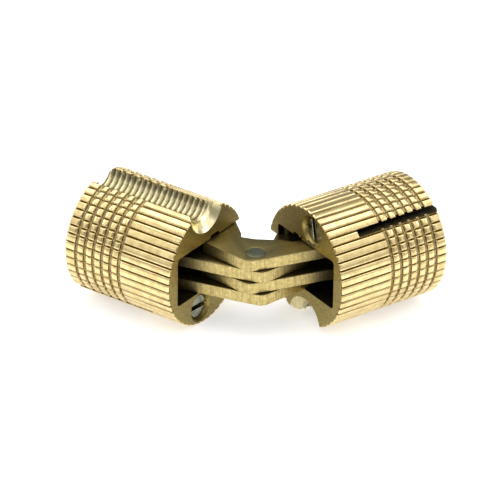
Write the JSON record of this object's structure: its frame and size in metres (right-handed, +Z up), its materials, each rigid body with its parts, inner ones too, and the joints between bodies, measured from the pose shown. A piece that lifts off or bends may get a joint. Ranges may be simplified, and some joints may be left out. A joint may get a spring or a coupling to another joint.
{
  "type": "invisible barrel hinge",
  "caption": "Concealed hinge of knurled brass barrels, with crossed link plates that fold into slots in the barrels' faces as a lid or door closes.",
  "frame": {"origin": "under the middle of the whole hinge, on the surface that the barrels lie on, in the part-open pose of the picture", "axes": "+Z up along the pivot pins, +X from the left barrel to the right barrel, +Y away from the links' elbow towards the barrels' tails"},
  "size_m": [0.0418, 0.0194, 0.014],
  "materials": {
    "barrel_brass": "bright turned and knurled",
    "link_brass": "satin with sawn edges",
    "screw_steel": "bright",
    "pin_steel": "satin"
  },
  "bodies": {
    "left_half": {"left_barrel": "barrel_brass", "left_pivot_pin": "pin_steel"},
    "link_set_a": {"link_plate_1": "link_brass", "link_plate_3": "link_brass", "centre_rivet": "pin_steel", "right_guide_pin": "pin_steel"},
    "link_set_b": {"link_plate_2": "link_brass", "link_plate_4": "link_brass", "left_guide_pin": "pin_steel"},
    "right_half": {"right_barrel": "barrel_brass", "right_pivot_pin": "pin_steel"},
    "left_screw": {"left_expander_screw": "screw_steel"},
    "right_screw": {"right_expander_screw": "screw_steel"}
  },
  "joints": [
    {"name": "hinge_fold", "type": "hinge", "parent": "left_half", "child": "link_set_a", "pos_m": [-0.00342, 0.00109, 0.007], "axis": [0, 0, 1], "range_deg": [-49.6, 49.6]},
    {"name": "link_cross", "type": "hinge", "parent": "link_set_a", "child": "link_set_b", "pos_m": [0, -0.00607, 0.007], "axis": [0, 0, 1], "range_deg": [-29.6, 29.6]},
    {"name": "right_swing", "type": "hinge", "parent": "link_set_b", "child": "right_half", "pos_m": [0.00342, 0.00109, 0.007], "axis": [0, 0, 1], "range_deg": [-50.2, 50.2]},
    {"name": "left_screw_drive", "type": "slide", "parent": "left_half", "child": "left_screw", "axis": [-0.8192, 0.5736, 0], "range_m": [0, 0.001]},
    {"name": "right_screw_drive", "type": "slide", "parent": "right_half", "child": "right_screw", "axis": [0.8192, 0.5736, 0], "range_m": [0, 0.001]}
  ],
  "couplings": [
    {"joint": "link_cross", "follows": "hinge_fold", "ratio": -0.58913},
    {"joint": "right_swing", "follows": "hinge_fold", "ratio": 1}
  ]
}
